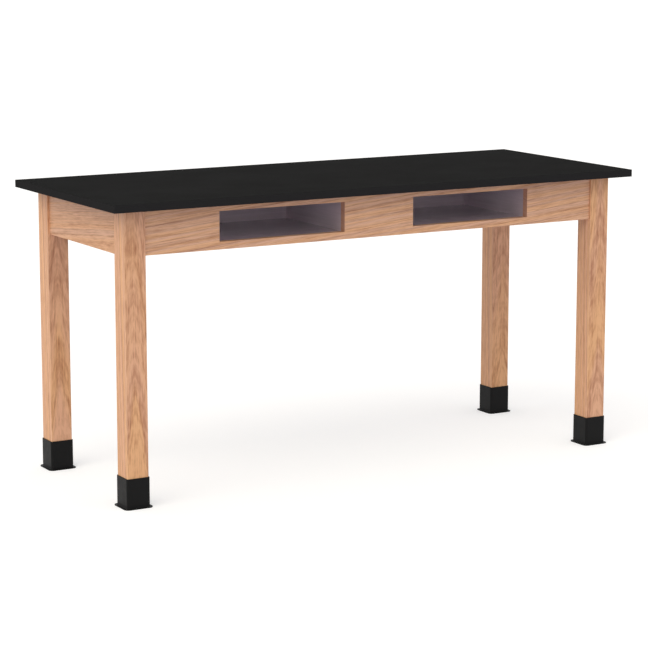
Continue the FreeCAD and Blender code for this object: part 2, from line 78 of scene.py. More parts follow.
def node(material, kind, inputs, **settings):
    """Adds a node, sets its properties, and sets or links each named or numbered input."""
    made = material.node_tree.nodes.new(kind)
    for name, value in settings.items():
        setattr(made, name, value)
    for key, value in inputs.items():
        if isinstance(value, bpy.types.NodeSocket):
            material.node_tree.links.new(value, made.inputs[key])
        else:
            made.inputs[key].default_value = value
    return made.outputs


def join(material, source, target):
    """Links an output to a shader's input."""
    material.node_tree.links.new(source, target)


def wear(node_name, material):
    """Puts a material on a CAD node."""
    mesh = nodes[node_name].data
    mesh.materials.clear()
    mesh.materials.append(material)


# Red oak, plain-sawn, sanded and coated with a clear satin lacquer: a light reddish tan whose
# growth rings draw cathedral arches on the flat-sawn faces and straight stripes on the faces
# beside them, with darker porous lines and a soft shine.
OAK_PORE = "#864c2a"
# The colour of the painted highlight along a leg's arrises
OAK_ARRIS_HIGHLIGHT = "#f0cba2"
OAK_END_GRAIN = "#c1907c"
OAK_ROUGHNESS = {"To Min": 0.42, "To Max": 0.62}
OAK_SPECULAR = 0.2
OAK_RELIEF = {"Strength": 0.35, "Distance": 0.06 * MM}

# How each kind of piece is cut from its log. The colours are the warm pale and deep tones and the
# rosier pale and deep tones. ring is the usual width of a growth ring, group that of a darker or
# paler run of rings, and line the part of a ring that its darker early wood takes. ring_share and
# group_share say how much these two darken the wood. point is how much a ring falls back on each
# side of the pith, which sharpens an arch to a spire. waver is how quickly the rings bend along
# the grain, and ripple how much they wrinkle.
LEG_CUT = {
    "colours": ("#edb986", "#ae724a", "#eab790", "#aa7252"),
    "ring": 3.4 * MM, "group": 7.5 * MM, "line": 0.7, "ring_share": 0.27, "group_share": 0.37,
    "point": 0.1, "waver": 0.5, "ripple": 0.15,
}
BOARD_CUT = {
    "colours": ("#ecbb8e", "#b0764c", "#e6b997", "#a87656"),
    "ring": 6.2 * MM, "group": 13.0 * MM, "line": 0.42, "ring_share": 0.45, "group_share": 0.34,
    "point": 0.0, "waver": 1.0, "ripple": 1.0,
}
END_CUT = {
    **BOARD_CUT, "colours": ("#e3b083", "#ab6f47", "#ddaf8c", "#a37150"), "ring": 5.0 * MM,
}

# Each pattern has a size across the grain, and changes along the grain at only a share of that
# pace. A sway and a ripple push the rings about, by their reach in all.
SWAY_ACROSS = 60.0 * MM
SWAY_ALONG_SHARE = 0.13
SWAY_REACH = 10.0 * MM
RIPPLE_ACROSS = 13.0 * MM
RIPPLE_ALONG_SHARE = 0.1
RIPPLE_REACH = 3.0 * MM
# The pores are drawn two to three times as wide as real ones, so that they show in the render.
PORE_ACROSS = 0.9 * MM
PORE_ALONG_SHARE = 0.035
STREAK_ACROSS = 2.8 * MM
STREAK_ALONG_SHARE = 0.018
FLAKE_ACROSS = 1.1 * MM
FLAKE_ALONG_SHARE = 0.03

# By how many rings the noise of the groups shifts the count, which makes some rings wider and
# others narrower, and how strong the faintest ring is
RING_UNEVENNESS = 2.4
FAINTEST_RING = 0.1
# Of the width of a ring's dark line, the part in which it comes up and the part from which it
# fades
LINE_RISE = 1 / 6
LINE_HOLD = 1 / 5
# How far streaks and flakes lighten or darken the wood
STREAK_TONES = {"To Min": -0.36, "To Max": 0.36}
FLAKE_TONES = {"To Min": -0.34, "To Max": 0.34}
# The hue's own place in its noise keeps it from changing with the groups of rings.
HUE_ACROSS = 11.0 * MM
HUE_SHIFT = 7.0
# Where the noise of the pores makes one, what share of them the late wood has, how much a pore
# darkens the wood, and how deep the early wood lies beside a pore
PORE_SPAN = {"From Min": 0.5, "From Max": 0.72}
LATE_PORE_SHARE = 0.25
PORE_TINT = 0.55
EARLY_WOOD_DEPTH = 0.35
# A painted highlight along a leg's arrises: how far from its edge it starts to pale, where it is
# palest, and how pale it gets
ARRIS_WIDTH = 1.8 * MM
ARRIS_PALEST = ARRIS_WIDTH / 3
ARRIS_TINT = 0.35
# From how square to the grain a face is end grain, and how much of that colour it takes
END_GRAIN_SPAN = {"From Min": 0.75, "From Max": 0.95, "To Max": 0.7}


def stretched_noise(material, place, across, stretch, dimensions, **settings):
    """Noise of a size across the grain, drawn out along it by a factor for each axis."""
    at = node(material, "ShaderNodeVectorMath", {0: place, 1: stretch}, operation="MULTIPLY")[0]
    return node(material, "ShaderNodeTexNoise", {
        "Vector": at, "Scale": 1 / across, **settings}, noise_dimensions=dimensions)["Fac"]


def growth(material, local, seed, cut):
    """How far each point grew from the pith line, with the sway and ripple of real rings."""
    flat = node(material, "ShaderNodeVectorMath", {
        0: local, 1: (1, 1, 0)}, operation="MULTIPLY")[0]
    from_pith = node(material, "ShaderNodeVectorMath", {0: flat}, operation="LENGTH")["Value"]
    across = node(material, "ShaderNodeSeparateXYZ", {0: local})["X"]
    aside = node(material, "ShaderNodeMath", {0: across}, operation="ABSOLUTE")[0]
    radius = node(material, "ShaderNodeMath", {
        0: aside, 1: cut["point"], 2: from_pith}, operation="MULTIPLY_ADD")[0]
    sway = stretched_noise(
        material, local, SWAY_ACROSS, (1, 1, cut["waver"] * SWAY_ALONG_SHARE), "4D",
        W=seed, Detail=1.0)
    swayed = node(material, "ShaderNodeMath", {
        0: sway, 1: SWAY_REACH, 2: radius}, operation="MULTIPLY_ADD")[0]
    ripple = stretched_noise(
        material, local, RIPPLE_ACROSS, (1, 1, cut["waver"] * RIPPLE_ALONG_SHARE), "4D",
        W=seed, Detail=2.0)
    return node(material, "ShaderNodeMath", {
        0: ripple, 1: cut["ripple"] * RIPPLE_REACH, 2: swayed}, operation="MULTIPLY_ADD")[0]


def ring_lines(material, grown, cut):
    """The dark early wood of each ring, from 0 to 1, and the slow noise that groups the rings."""
    groups = node(material, "ShaderNodeTexNoise", {
        "W": grown, "Scale": 1 / cut["group"], "Detail": 1.5, "Roughness": 0.6,
    }, noise_dimensions="1D")["Fac"]
    even = node(material, "ShaderNodeMath", {
        0: grown, 1: 1 / cut["ring"]}, operation="MULTIPLY")[0]
    uneven = node(material, "ShaderNodeMath", {
        0: groups, 1: RING_UNEVENNESS, 2: even}, operation="MULTIPLY_ADD")[0]
    phase = node(material, "ShaderNodeMath", {0: uneven}, operation="FRACT")[0]
    ring = node(material, "ShaderNodeMath", {0: uneven}, operation="FLOOR")[0]
    chance = node(material, "ShaderNodeTexWhiteNoise", {
        "W": ring}, noise_dimensions="1D")["Value"]
    strength = node(material, "ShaderNodeMapRange", {
        "Value": chance, "To Min": FAINTEST_RING})[0]
    rise = node(material, "ShaderNodeMapRange", {
        "Value": phase, "From Max": cut["line"] * LINE_RISE},
        interpolation_type="SMOOTHSTEP")[0]
    fall = node(material, "ShaderNodeMapRange", {
        "Value": phase, "From Min": cut["line"] * LINE_HOLD, "From Max": cut["line"],
        "To Min": 1.0, "To Max": 0.0}, interpolation_type="SMOOTHSTEP")[0]
    line = node(material, "ShaderNodeMath", {0: rise, 1: fall}, operation="MULTIPLY")[0]
    early = node(material, "ShaderNodeMath", {0: line, 1: strength}, operation="MULTIPLY")[0]
    return early, groups


def oak_pores(material, local, early):
    """The pores, from 0 to 1: short dark lines along the grain, most of them in the early wood."""
    noise = stretched_noise(
        material, local, PORE_ACROSS, (1, 1, PORE_ALONG_SHARE), "3D", Detail=1.0)
    pore = node(material, "ShaderNodeMapRange", {"Value": noise, **PORE_SPAN})[0]
    share = node(material, "ShaderNodeMath", {
        0: early, 1: 1 - LATE_PORE_SHARE, 2: LATE_PORE_SHARE}, operation="MULTIPLY_ADD")[0]
    return node(material, "ShaderNodeMath", {0: pore, 1: share}, operation="MULTIPLY")[0]


def oak_depth(material, local, grown, early, groups, seed, cut):
    """How deep the wood's tone is, from 0 to 1: rings and groups, broken by streaks and flakes."""
    group_tone = node(material, "ShaderNodeMapRange", {"Value": groups, **NOISE_SPAN})[0]
    early_tone = node(material, "ShaderNodeMath", {
        0: early, 1: cut["ring_share"]}, operation="MULTIPLY")[0]
    ring_tone = node(material, "ShaderNodeMath", {
        0: group_tone, 1: cut["group_share"], 2: early_tone}, operation="MULTIPLY_ADD")[0]
    streak = stretched_noise(
        material, local, STREAK_ACROSS, (1, 1, STREAK_ALONG_SHARE), "4D",
        W=seed, Detail=3.0, Roughness=0.65)
    streak_tone = node(material, "ShaderNodeMapRange", {
        "Value": streak, **NOISE_SPAN, **STREAK_TONES})[0]
    along = node(material, "ShaderNodeSeparateXYZ", {0: local})["Z"]
    flake_along = node(material, "ShaderNodeMath", {
        0: along, 1: FLAKE_ALONG_SHARE}, operation="MULTIPLY")[0]
    flake_at = node(material, "ShaderNodeCombineXYZ", {
        "X": grown, "Y": flake_along, "Z": seed})["Vector"]
    flake = node(material, "ShaderNodeTexNoise", {
        "Vector": flake_at, "Scale": 1 / FLAKE_ACROSS, "Detail": 2.0, "Roughness": 0.6})["Fac"]
    flake_tone = node(material, "ShaderNodeMapRange", {
        "Value": flake, **NOISE_SPAN, **FLAKE_TONES})[0]
    broken_tone = node(material, "ShaderNodeMath", {
        0: streak_tone, 1: flake_tone}, operation="ADD")[0]
    return node(material, "ShaderNodeMath", {
        0: ring_tone, 1: broken_tone}, operation="ADD", use_clamp=True)[0]


def oak_colour(material, grown, depth, pores, seed, cut):
    """The wood's colour, between its warm and rosy tones, with darker pores."""
    hue_at = node(material, "ShaderNodeMath", {
        0: grown, 1: seed + HUE_SHIFT}, operation="ADD")[0]
    hue_noise = node(material, "ShaderNodeTexNoise", {
        "W": hue_at, "Scale": 1 / HUE_ACROSS, "Detail": 1.0}, noise_dimensions="1D")["Fac"]
    hue = node(material, "ShaderNodeMapRange", {
        "Value": hue_noise, **NARROW_SPAN}, interpolation_type="SMOOTHSTEP")[0]
    warm_pale, warm_deep, rosy_pale, rosy_deep = [linear(code) for code in cut["colours"]]
    pale = node(material, "ShaderNodeMix", {
        SHARE: hue, FIRST: warm_pale, SECOND: rosy_pale}, data_type="RGBA")[MIXED]
    deep = node(material, "ShaderNodeMix", {
        SHARE: hue, FIRST: warm_deep, SECOND: rosy_deep}, data_type="RGBA")[MIXED]
    grained = node(material, "ShaderNodeMix", {
        SHARE: depth, FIRST: pale, SECOND: deep}, data_type="RGBA")[MIXED]
    pore_depth = node(material, "ShaderNodeMath", {0: pores, 1: PORE_TINT}, operation="MULTIPLY")[0]
    return node(material, "ShaderNodeMix", {
        SHARE: pore_depth, FIRST: grained, SECOND: linear(OAK_PORE)}, data_type="RGBA")[MIXED]


def painted_arris_highlights(material, place, colour, centre, half):
    """A square leg's colour with a painted highlight that makes its edges a little paler."""
    offset = node(material, "ShaderNodeVectorMath", {
        0: place, 1: centre}, operation="SUBTRACT")[0]
    reach = node(material, "ShaderNodeVectorMath", {0: offset}, operation="ABSOLUTE")[0]
    sides = node(material, "ShaderNodeSeparateXYZ", {0: reach})
    nearer = node(material, "ShaderNodeMath", {
        0: sides["X"], 1: sides["Y"]}, operation="MINIMUM")[0]
    arris_highlight = node(material, "ShaderNodeMapRange", {
        "Value": nearer, "From Min": half - ARRIS_WIDTH, "From Max": half - ARRIS_PALEST,
        "To Max": ARRIS_TINT}, interpolation_type="SMOOTHSTEP")[0]
    return node(material, "ShaderNodeMix", {
        SHARE: arris_highlight, FIRST: colour, SECOND: linear(OAK_ARRIS_HIGHLIGHT)}, data_type="RGBA")[MIXED]


def oak(name, pith, turn, seed, cut, arris=None):
    """Red oak whose rings lie round a line through pith, where turn takes local Z to the grain.

    arris is a square leg's centre and half its width.
    """
    material, shader = new_material(name)
    coordinates = node(material, "ShaderNodeTexCoord", {})
    place = coordinates["Object"]
    local = node(material, "ShaderNodeMapping", {
        "Vector": place, "Location": pith, "Rotation": turn}, vector_type="TEXTURE")["Vector"]
    grown = growth(material, local, seed, cut)
    early, groups = ring_lines(material, grown, cut)
    pores = oak_pores(material, local, early)
    depth = oak_depth(material, local, grown, early, groups, seed, cut)
    colour = oak_colour(material, grown, depth, pores, seed, cut)
    if arris:
        colour = painted_arris_highlights(material, place, colour, *arris)
    grain = Euler(turn).to_matrix() @ UPRIGHT
    along_grain = node(material, "ShaderNodeVectorMath", {
        0: coordinates["Normal"], 1: grain}, operation="DOT_PRODUCT")["Value"]
    squareness = node(material, "ShaderNodeMath", {0: along_grain}, operation="ABSOLUTE")[0]
    end_grain = node(material, "ShaderNodeMapRange", {
        "Value": squareness, **END_GRAIN_SPAN}, interpolation_type="SMOOTHSTEP")[0]
    colour = node(material, "ShaderNodeMix", {
        SHARE: end_grain, FIRST: colour, SECOND: linear(OAK_END_GRAIN)}, data_type="RGBA")[MIXED]
    join(material, colour, shader.inputs["Base Color"])

    roughness = node(material, "ShaderNodeMapRange", {"Value": pores, **OAK_ROUGHNESS})[0]
    join(material, roughness, shader.inputs["Roughness"])
    shader.inputs["Specular IOR Level"].default_value = OAK_SPECULAR
    grooves = node(material, "ShaderNodeMath", {
        0: early, 1: EARLY_WOOD_DEPTH, 2: pores}, operation="MULTIPLY_ADD")[0]
    relief = node(material, "ShaderNodeBump", {"Height": grooves, **OAK_RELIEF}, invert=True)[0]
    join(material, relief, shader.inputs["Normal"])
    return material


# The tones of the cast faces and of the edges: plain, and in the specks of the filler. The edges'
# paler tones are painted light, which makes the edges, lit less than the top, show about as dark as
# it.
RESIN_FACE = ("#1b1b1b", "#202020")
RESIN_PAINTED_PALER_EDGES = ("#272727", "#2b2b2a")
RESIN_GRIT = 1.6 * MM
RESIN_CLOUD = 140.0 * MM
RESIN_ROUGHNESS = {"To Min": 0.72, "To Max": 0.8}
RESIN_SPECULAR = 0.004
RESIN_RELIEF = {"Strength": 0.25, "Distance": 0.05 * MM}


def resin():
    """Black resin cast for a laboratory top: near black matt faces, with the edges painted a bit
    paler as painted light.
    """
    material, shader = new_material("cast_black_epoxy_resin")
    coordinates = node(material, "ShaderNodeTexCoord", {})
    place = coordinates["Object"]
    grit = node(material, "ShaderNodeTexNoise", {
        "Vector": place, "Scale": 1 / RESIN_GRIT, "Detail": 3.0})["Fac"]
    cloud = node(material, "ShaderNodeTexNoise", {
        "Vector": place, "Scale": 1 / RESIN_CLOUD, "Detail": 2.0})["Fac"]
    speck = node(material, "ShaderNodeMapRange", {"Value": grit, **NARROW_SPAN})[0]
    face, painted_paler_edges = [
        node(material, "ShaderNodeMix", {
            SHARE: speck, FIRST: linear(plain), SECOND: linear(filler)}, data_type="RGBA")[MIXED]
        for plain, filler in (RESIN_FACE, RESIN_PAINTED_PALER_EDGES)]
    # Upright faces take the paler edge tones: painted light.
    facing = node(material, "ShaderNodeSeparateXYZ", {0: coordinates["Normal"]})["Z"]
    flat = node(material, "ShaderNodeMath", {0: facing}, operation="ABSOLUTE")[0]
    colour = node(material, "ShaderNodeMix", {
        SHARE: flat, FIRST: painted_paler_edges, SECOND: face}, data_type="RGBA")[MIXED]
    join(material, colour, shader.inputs["Base Color"])
    roughness = node(material, "ShaderNodeMapRange", {
        "Value": cloud, **NOISE_SPAN, **RESIN_ROUGHNESS})[0]
    join(material, roughness, shader.inputs["Roughness"])
    shader.inputs["Specular IOR Level"].default_value = RESIN_SPECULAR
    relief = node(material, "ShaderNodeBump", {"Height": grit, **RESIN_RELIEF})[0]
    join(material, relief, shader.inputs["Normal"])
    return material


RUBBER_CLEAN = "#0c0c0c"
RUBBER_DUSTY = "#151515"
RUBBER_GRAIN = 1.2 * MM
RUBBER_DUST = 18.0 * MM
RUBBER_DUST_SPAN = {"From Min": 0.4, "From Max": 0.75, "To Max": 0.6}
RUBBER_ROUGHNESS = {"To Min": 0.42, "To Max": 0.56}
RUBBER_SPECULAR = 0.14
RUBBER_RELIEF = {"Strength": 0.3, "Distance": 0.05 * MM}


def rubber():
    """Moulded black rubber: dull, a little dusty, with a fine mould grain."""
    material, shader = new_material("moulded_black_rubber")
    place = node(material, "ShaderNodeTexCoord", {})["Object"]
    grain = node(material, "ShaderNodeTexNoise", {
        "Vector": place, "Scale": 1 / RUBBER_GRAIN, "Detail": 2.0})["Fac"]
    dust = node(material, "ShaderNodeTexNoise", {
        "Vector": place, "Scale": 1 / RUBBER_DUST, "Detail": 4.0, "Roughness": 0.65})["Fac"]
    bloom = node(material, "ShaderNodeMapRange", {"Value": dust, **RUBBER_DUST_SPAN})[0]
    colour = node(material, "ShaderNodeMix", {
        SHARE: bloom, FIRST: linear(RUBBER_CLEAN), SECOND: linear(RUBBER_DUSTY),
    }, data_type="RGBA")[MIXED]
    join(material, colour, shader.inputs["Base Color"])
    roughness = node(material, "ShaderNodeMapRange", {
        "Value": dust, **NOISE_SPAN, **RUBBER_ROUGHNESS})[0]
    join(material, roughness, shader.inputs["Roughness"])
    shader.inputs["Specular IOR Level"].default_value = RUBBER_SPECULAR
    relief = node(material, "ShaderNodeBump", {"Height": grain, **RUBBER_RELIEF})[0]
    join(material, relief, shader.inputs["Normal"])
    return material


ZINC_COLD = "#ccd0d3"
ZINC_WARM = "#dbd9d0"
ZINC_CLOUD = 9.0 * MM
ZINC_GRAIN = 0.8 * MM
ZINC_ROUGHNESS = {"To Min": 0.4, "To Max": 0.47}
ZINC_RELIEF = {"Strength": 0.2, "Distance": 0.03 * MM}


def zinc():
    """Bright zinc plate on pressed or turned steel: a pale grey metal with a cloudy shine."""
    material, shader = new_material("zinc_plated_steel")
    place = node(material, "ShaderNodeTexCoord", {})["Object"]
    cloud = node(material, "ShaderNodeTexNoise", {
        "Vector": place, "Scale": 1 / ZINC_CLOUD, "Detail": 3.0})["Fac"]
    grain = node(material, "ShaderNodeTexNoise", {
        "Vector": place, "Scale": 1 / ZINC_GRAIN, "Detail": 2.0})["Fac"]
    colour = node(material, "ShaderNodeMix", {
        SHARE: cloud, FIRST: linear(ZINC_COLD), SECOND: linear(ZINC_WARM),
    }, data_type="RGBA")[MIXED]
    join(material, colour, shader.inputs["Base Color"])
    shader.inputs["Metallic"].default_value = 1.0
    roughness = node(material, "ShaderNodeMapRange", {
        "Value": cloud, **NOISE_SPAN, **ZINC_ROUGHNESS})[0]
    join(material, roughness, shader.inputs["Roughness"])
    relief = node(material, "ShaderNodeBump", {"Height": grain, **ZINC_RELIEF})[0]
    join(material, relief, shader.inputs["Normal"])
    return material


NYLON_DEEP = "#8c8c8a"
NYLON_PALE = "#989895"
NYLON_GRAIN = 1.0 * MM
NYLON_ROUGHNESS = 0.45
NYLON_RELIEF = {"Strength": 0.2, "Distance": 0.04 * MM}


def nylon():
    """Moulded grey nylon: even and slightly waxy, with a faint mould grain."""
    material, shader = new_material("moulded_grey_nylon")
    place = node(material, "ShaderNodeTexCoord", {})["Object"]
    grain = node(material, "ShaderNodeTexNoise", {
        "Vector": place, "Scale": 1 / NYLON_GRAIN, "Detail": 2.0})["Fac"]
    colour = node(material, "ShaderNodeMix", {
        SHARE: grain, FIRST: linear(NYLON_DEEP), SECOND: linear(NYLON_PALE),
    }, data_type="RGBA")[MIXED]
    join(material, colour, shader.inputs["Base Color"])
    shader.inputs["Roughness"].default_value = NYLON_ROUGHNESS
    relief = node(material, "ShaderNodeBump", {"Height": grain, **NYLON_RELIEF})[0]
    join(material, relief, shader.inputs["Normal"])
    return material


# The compartments' boards have a skin on each face, a printed grain and a core of coarse chips.
PANEL_SKIN = 0.5 * MM
PANEL_GRAIN = 5.0 * MM
PANEL_ALONG_SHARE = 0.04
PANEL_RELIEF = {"Strength": 0.2, "Distance": 0.05 * MM}
DARKEST_PRINT = 0.87
CHIP_SIZE = 2.2 * MM
CHIP_PALE = "#b7946c"
CHIP_DEEP = "#8d6d4a"
CORE_ROUGHNESS = 0.85
BACKING_SHEET = "#c9bfb3"
BACKING_ROUGHNESS = 0.5
# The printed sheet on each inner face: its colour deeper in, and near the mouth a darker colour
# that is painted shade, against the light that comes in at the mouth. The floors are smoother than
# the walls, so that books slide in.
MOUTH_SHADE_REACH = 130.0 * MM
# The three sheets are one printed board. Their colours differ as painted shade: the back, on which
# the light from the mouth falls straight, is darker than the sides, and the floor, which gets the
# least light, is palest.
FLOOR_SHEET = {"deeper_in": "#fff8ff", "painted_shade_at_mouth": "#dac9d6", "roughness": 0.14, "specular": 0.8}
BACK_SHEET = {"deeper_in": "#f4e4ee", "painted_shade_at_mouth": "#f4e4ee", "roughness": 0.4, "specular": 0.5}
SIDE_SHEET = {"deeper_in": "#faebf3", "painted_shade_at_mouth": "#d8c8cd", "roughness": 0.4, "specular": 0.5}


def panel(name, low, thickness, turn, mouth, sheet):
    """Melamine-faced chipboard: a pale printed grain on the inner face, a plain grey-brown backing
    sheet on the outer one and the bare core on cut edges.

    turn takes local Z to the way from the outer face inwards. mouth is the Y of the compartment's
    mouth, and sheet says how its inner face looks.
    """
    material, shader = new_material(name)
    place = node(material, "ShaderNodeTexCoord", {})["Object"]
    local = node(material, "ShaderNodeMapping", {
        "Vector": place, "Location": low, "Rotation": turn}, vector_type="TEXTURE")["Vector"]
    depth = node(material, "ShaderNodeSeparateXYZ", {0: local})["Z"]
    past_middle = node(material, "ShaderNodeMath", {
        0: depth, 1: thickness / 2}, operation="SUBTRACT")[0]
    from_middle = node(material, "ShaderNodeMath", {0: past_middle}, operation="ABSOLUTE")[0]
    skin = node(material, "ShaderNodeMapRange", {
        "Value": from_middle,
        "From Min": thickness / 2 - PANEL_SKIN, "From Max": thickness / 2 - PANEL_SKIN / 2})[0]
    inner = node(material, "ShaderNodeMath", {
        0: depth, 1: thickness / 2}, operation="GREATER_THAN")[0]

    # Towards the mouth the sheet is painted darker: painted shade against the light that comes in
    # there.
    way_in = node(material, "ShaderNodeSeparateXYZ", {0: place})["Y"]
    past_mouth_shade = node(material, "ShaderNodeMapRange", {
        "Value": way_in, "From Min": mouth, "From Max": mouth + MOUTH_SHADE_REACH,
    }, interpolation_type="SMOOTHSTEP")[0]
    ground = node(material, "ShaderNodeMix", {
        SHARE: past_mouth_shade, FIRST: linear(sheet["painted_shade_at_mouth"]), SECOND: linear(sheet["deeper_in"]),
    }, data_type="RGBA")[MIXED]
    faced = node(material, "ShaderNodeMix", {
        SHARE: inner, FIRST: linear(BACKING_SHEET), SECOND: ground}, data_type="RGBA")[MIXED]
    grain = stretched_noise(
        material, local, PANEL_GRAIN, (PANEL_ALONG_SHARE, 1, 1), "3D", Detail=4.0, Roughness=0.6)
    tone = node(material, "ShaderNodeMapRange", {"Value": grain, **NOISE_SPAN})[0]
    ink = node(material, "ShaderNodeMapRange", {
        "Value": tone, "To Min": 1.0, "To Max": DARKEST_PRINT})[0]
    printed = node(material, "ShaderNodeVectorMath", {0: faced, 3: ink}, operation="SCALE")[0]
    chips = node(material, "ShaderNodeTexVoronoi", {
        "Vector": place, "Scale": 1 / CHIP_SIZE, "Randomness": 1.0})["Color"]
    chip_tone = node(material, "ShaderNodeSeparateXYZ", {0: chips})["X"]
    core = node(material, "ShaderNodeMix", {
        SHARE: chip_tone, FIRST: linear(CHIP_PALE), SECOND: linear(CHIP_DEEP),
    }, data_type="RGBA")[MIXED]
    colour = node(material, "ShaderNodeMix", {
        SHARE: skin, FIRST: core, SECOND: printed}, data_type="RGBA")[MIXED]
    join(material, colour, shader.inputs["Base Color"])

    shine = node(material, "ShaderNodeMapRange", {
        "Value": inner, "To Min": BACKING_ROUGHNESS, "To Max": sheet["roughness"]})[0]
    roughness = node(material, "ShaderNodeMapRange", {
        "Value": skin, "To Min": CORE_ROUGHNESS, "To Max": shine})[0]
    join(material, roughness, shader.inputs["Roughness"])
    shader.inputs["Specular IOR Level"].default_value = sheet["specular"]
    relief = node(material, "ShaderNodeBump", {"Height": grain, **PANEL_RELIEF}, invert=True)[0]
    join(material, relief, shader.inputs["Normal"])
    return material


# Where each piece lay in its log. A leg's pith line stands behind its front face at the floor,
# leans back as it rises, and stands off the leg's middle, so that no two legs are alike.
LEG_PITH_DEPTH = 260.0 * MM
LEG_PITH_LEAN = 0.025
LEG_PITHS_ASIDE = (-5.0 * MM, 4.0 * MM, -3.0 * MM, 6.0 * MM)
# An apron's pith line lies on its inner side, below or above its lower edge, and is tilted by
# some degrees. The rear apron's is at that height at a place along the apron.
FRONT_PITH_INSIDE = 20.0 * MM
FRONT_PITH_BELOW = 110.0 * MM
FRONT_PITH_TILT = 5.5
REAR_PITH_ALONG = 100.0 * MM
REAR_PITH_INSIDE = 30.0 * MM
REAR_PITH_ABOVE = 30.0 * MM
REAR_PITH_TILT = 1.2
END_PITH_INSIDE = 45.0 * MM
END_PITH_BELOW = 12.0 * MM
END_PITH_TILT = 6.5
BLOCK_PITH = (0.0, 120.0 * MM, 0.0)
CLEAT_PITH = (100.0 * MM, 0.0, 550.0 * MM)
# Each log's own number for its noise
LEG_SEED_STEP = 3.1
FRONT_SEED = 17.0
REAR_SEED = 23.0
END_SEED = 31.0
BLOCK_SEED = 41.0
CLEAT_SEED = 43.0
SMALL_HARDWARE = ("top_clips", "hanger_bolts", "bracket_washers", "bracket_nuts")

steel = zinc()
boot_rubber = rubber()
pad_nylon = nylon()
wear("work_top", resin())

for number, (corner, aside) in enumerate(zip(CORNERS, LEG_PITHS_ASIDE)):
    low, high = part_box("leg_" + corner)
    pith = ((low.x + high.x) / 2 + aside, low.y + LEG_PITH_DEPTH, 0.0)
    lean = (-LEG_PITH_LEAN, 0, 0)
    arris = ((low + high) / 2, (high.x - low.x) / 2)
    seed = LEG_SEED_STEP * number
    wear("leg_" + corner, oak("oak_leg_" + corner, pith, lean, seed, LEG_CUT, arris))
    wear("boot_" + corner, boot_rubber)
    wear("glide_pad_" + corner, pad_nylon)
    for piece in ("leg_insert_", "glide_stem_", "corner_bracket_"):
        wear(piece + corner, steel)

low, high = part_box("front_apron")
pith = (0.0, high.y + FRONT_PITH_INSIDE, low.z - FRONT_PITH_BELOW)
turn = (0, math.radians(90.0 - FRONT_PITH_TILT), 0)
wear("front_apron", oak("oak_front_apron", pith, turn, FRONT_SEED, BOARD_CUT))
low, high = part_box("rear_apron")
pith = (REAR_PITH_ALONG, low.y - REAR_PITH_INSIDE, low.z + REAR_PITH_ABOVE)
turn = (0, math.radians(90.0 - REAR_PITH_TILT), 0)
wear("rear_apron", oak("oak_rear_apron", pith, turn, REAR_SEED, BOARD_CUT))
for side, sign in SIDES.items():
    low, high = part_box(side + "_apron")
    pith = ((low.x + high.x) / 2 - sign * END_PITH_INSIDE, 0.0, low.z - END_PITH_BELOW)
    turn = (math.radians(-90.0 - END_PITH_TILT), 0, 0)
    wear(side + "_apron", oak("oak_" + side + "_apron", pith, turn, END_SEED + sign, END_CUT))

blocks_oak = oak("oak_blocks", BLOCK_PITH, (0, 0, 0), BLOCK_SEED, LEG_CUT)
cleats_oak = oak("oak_cleats", CLEAT_PITH, (-QUARTER, 0, 0), CLEAT_SEED, LEG_CUT)
low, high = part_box("left_compartment_floor")
mouth = low.y
floor_board = panel(
    "melamine_floors", (0, 0, low.z), high.z - low.z, (0, 0, 0), mouth, FLOOR_SHEET)
low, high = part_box("left_compartment_back")
back_board = panel(
    "melamine_backs", (0, high.y, 0), high.y - low.y, (QUARTER, 0, 0), mouth, BACK_SHEET)
for side, sign in SIDES.items():
    wear(side + "_compartment_floor", floor_board)
    wear(side + "_compartment_back", back_board)
    for edge in ("outer", "inner"):
        stem = side + "_compartment_" + edge
        low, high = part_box(stem + "_side")
        name = "melamine_" + side + "_" + edge + "_side"
        facing = -sign if edge == "outer" else sign
        outer_face = (low.x if facing > 0 else high.x, 0, 0)
        turn = (QUARTER, 0, facing * QUARTER)
        wear(stem + "_side", panel(name, outer_face, high.x - low.x, turn, mouth, SIDE_SHEET))
        wear(stem + "_cleat", cleats_oak)
        wear(stem + "_block", blocks_oak)

for name in nodes:
    if name.endswith("_screws") or name in SMALL_HARDWARE:
        wear(name, steel)


# The glides' stems and the hanger bolts are made again here with their screw threads, which the
# CAD solids leave plain.
AROUND = 24
SHARP = math.radians(30.0)
STEM_RADIUS = 4.76 * MM
STEM_PITCH = 1.5875 * MM
STEM_LENGTH = 38.1 * MM
BALL_RADIUS = 5.0 * MM
NECK_RADIUS = 3.2 * MM
COLLAR_ACROSS = 15.875 * MM
COLLAR_SIDES = 6
COLLAR_HEIGHT = 5.0 * MM
COLLAR_BEVEL = 0.5 * MM
BOLT_RADIUS = 3.97 * MM
BOLT_PITCH = 1.4111 * MM
BOLT_LENGTH = 76.2 * MM
BOLT_POINT_LENGTH = 7.0 * MM
BOLT_POINT_RADIUS = 1.0 * MM
BOLT_THREAD_LENGTH = 32.0 * MM
END_CHAMFER = 0.5 * MM
# Of a thread's pitch, how deep its groove is cut and how much of it the flat crest takes
GROOVE_SHARE = 0.6134
CREST_SHARE = 0.125
# How far a ridge's foot and a rod's step reach into the metal beside them, and how close two
# points of one place lie
ROOTED = 0.1 * MM
SAME_PLACE = 0.001 * MM


def stepped_rod(shape, steps):
    """Turns a closed rod round +Z from its radii and heights."""
    outline = [shape.verts.new((radius, 0, height)) for radius, height in steps]
    edges = [shape.edges.new(pair) for pair in zip(outline, outline[1:])]
    bmesh.ops.spin(
        shape, geom=outline + edges, axis=UPRIGHT, angle=math.tau, steps=AROUND, use_merge=True)
    bmesh.ops.remove_doubles(shape, verts=shape.verts, dist=SAME_PLACE)


